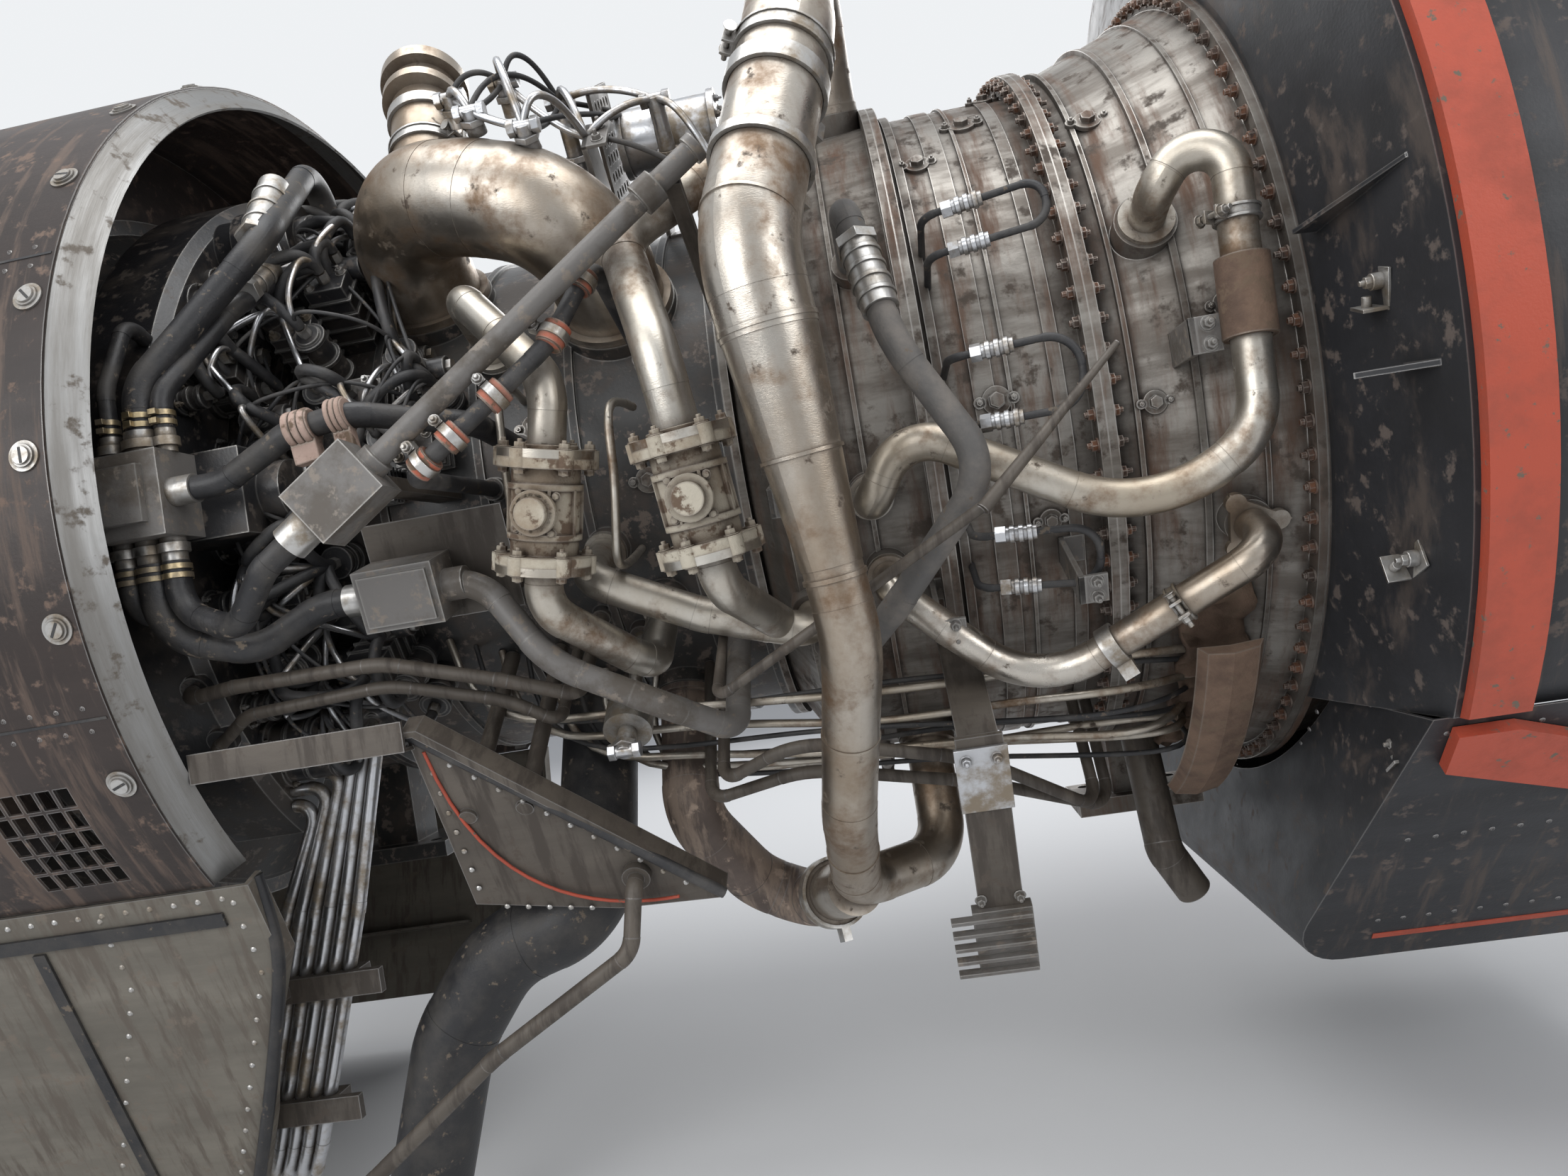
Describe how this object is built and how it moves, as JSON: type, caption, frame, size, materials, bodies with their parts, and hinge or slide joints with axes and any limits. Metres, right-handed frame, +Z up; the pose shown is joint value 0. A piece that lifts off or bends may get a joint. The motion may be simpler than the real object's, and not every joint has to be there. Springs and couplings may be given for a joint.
{
  "type": "jet engine",
  "caption": "Turbofan jet engine with fan, hot air ducts, butterfly valves, hoses and accessories between an inlet cowl and a fire bulkhead; both spools spin and the valves turn.",
  "frame": {"origin": "centre of the tail flange, on the engine axis at the flange rear face", "axes": "+X along the engine axis towards the tail, +Z up as the picture shows it, accessories on the -Y side"},
  "size_m": [2.335, 1.3606, 1.475],
  "materials": {
    "duct_steel": "formed stainless duct, stained brown and blue by heat",
    "case_steel": "weathered case steel with rust streaks",
    "case_dark": "dark cast case with oil grime",
    "hot_steel": "heat-darkened steel",
    "blade_titanium": "satin titanium",
    "valve_cream": "cream paint, chipped and stained",
    "pipe_worn": "pale worn steel with brown stains",
    "brown_duct": "brown heat-stained duct",
    "fitting_steel": "bare steel fittings",
    "hose_rubber": "black rubber, slightly glossy",
    "braid_grey": "grey braided sleeve",
    "cable_black": "black cable sleeve",
    "gearbox_black": "black painted castings, oily",
    "cast_grey": "grey cast metal, dusty",
    "sheet_metal": "dusty grey-brown sheet metal",
    "tube_silver": "plain silver tube",
    "ring_aluminium": "brushed aluminium, grimy",
    "cowl_paint": "dark maroon paint, dirty",
    "bulkhead_black": "black paint, rubbed brown in places",
    "seal_red": "red silicone seal, dirty",
    "cream_paint": "cream paint, stained",
    "bolt_rust": "rusty bolts",
    "insulation": "brown crusted blanket"
  },
  "bodies": {
    "engine": {"bleed_elbow": "duct_steel", "main_duct": "duct_steel", "lower_pipe": "duct_steel", "combustion_case": "case_steel", "turbine_case": "case_steel", "diffuser_case": "case_steel", "compressor_case": "case_dark", "intermediate_case": "case_dark", "fan_case": "case_dark", "exhaust_case": "hot_steel", "exhaust_cone": "hot_steel", "combustor_liner": "hot_steel", "fuel_manifold": "hot_steel", "stator_vanes": "hot_steel", "shaft_bearings": "blade_titanium", "valve_body_1": "valve_cream", "valve_body_2": "valve_cream", "duct_a": "pipe_worn", "duct_b": "pipe_worn", "valve_outlets": "pipe_worn", "s_pipe": "pipe_worn", "lower_duct": "brown_duct", "hose_fittings": "fitting_steel", "duct_clamps": "fitting_steel", "cowl_fasteners": "fitting_steel", "sensor_canister": "fitting_steel", "upper_hoses": "hose_rubber", "lower_hoses": "hose_rubber", "drain_duct": "hose_rubber", "braided_hose": "braid_grey", "harness": "cable_black", "accessory_gearbox": "gearbox_black", "starter": "gearbox_black", "fuel_pump": "gearbox_black", "manifold_block": "cast_grey", "junction_box": "cast_grey", "strut_rod": "cast_grey", "brackets": "sheet_metal", "keel_fairing": "sheet_metal", "small_tubes": "sheet_metal", "tube_bundle": "tube_silver", "cowl_ring": "ring_aluminium", "inlet_cowl": "ring_aluminium", "forward_cowl": "cowl_paint", "aft_bulkhead": "bulkhead_black", "keel_box": "bulkhead_black", "aft_cowl": "bulkhead_black", "fire_seal": "seal_red", "pylon_panel": "cream_paint", "pylon_skin": "cream_paint", "flange_bolts": "bolt_rust", "insulation": "insulation"},
    "lp_spool": {"spinner": "blade_titanium", "fan_rotor": "blade_titanium", "lp_shaft": "blade_titanium", "lp_turbine_rotor": "hot_steel"},
    "core_spool": {"core_compressor_rotor": "blade_titanium", "core_turbine_rotor": "hot_steel"},
    "valve_1": {"butterfly_1": "valve_cream"},
    "valve_2": {"butterfly_2": "valve_cream"}
  },
  "joints": [
    {"name": "lp_spool_spin", "type": "hinge", "parent": "engine", "child": "lp_spool", "pos_m": [-1.9, 0, 0], "axis": [1, 0, 0], "continuous": true},
    {"name": "core_spool_spin", "type": "hinge", "parent": "engine", "child": "core_spool", "pos_m": [-1.2, 0, 0], "axis": [1, 0, 0], "continuous": true},
    {"name": "butterfly_1_turn", "type": "hinge", "parent": "engine", "child": "valve_1", "pos_m": [-1.121, -0.49315, -0.06931], "axis": [0, -0.9903, -0.1392], "range_deg": [0, 90]},
    {"name": "butterfly_2_turn", "type": "hinge", "parent": "engine", "child": "valve_2", "pos_m": [-0.965, -0.53335, -0.08447], "axis": [0, -0.9877, -0.1564], "range_deg": [0, 90]}
  ]
}
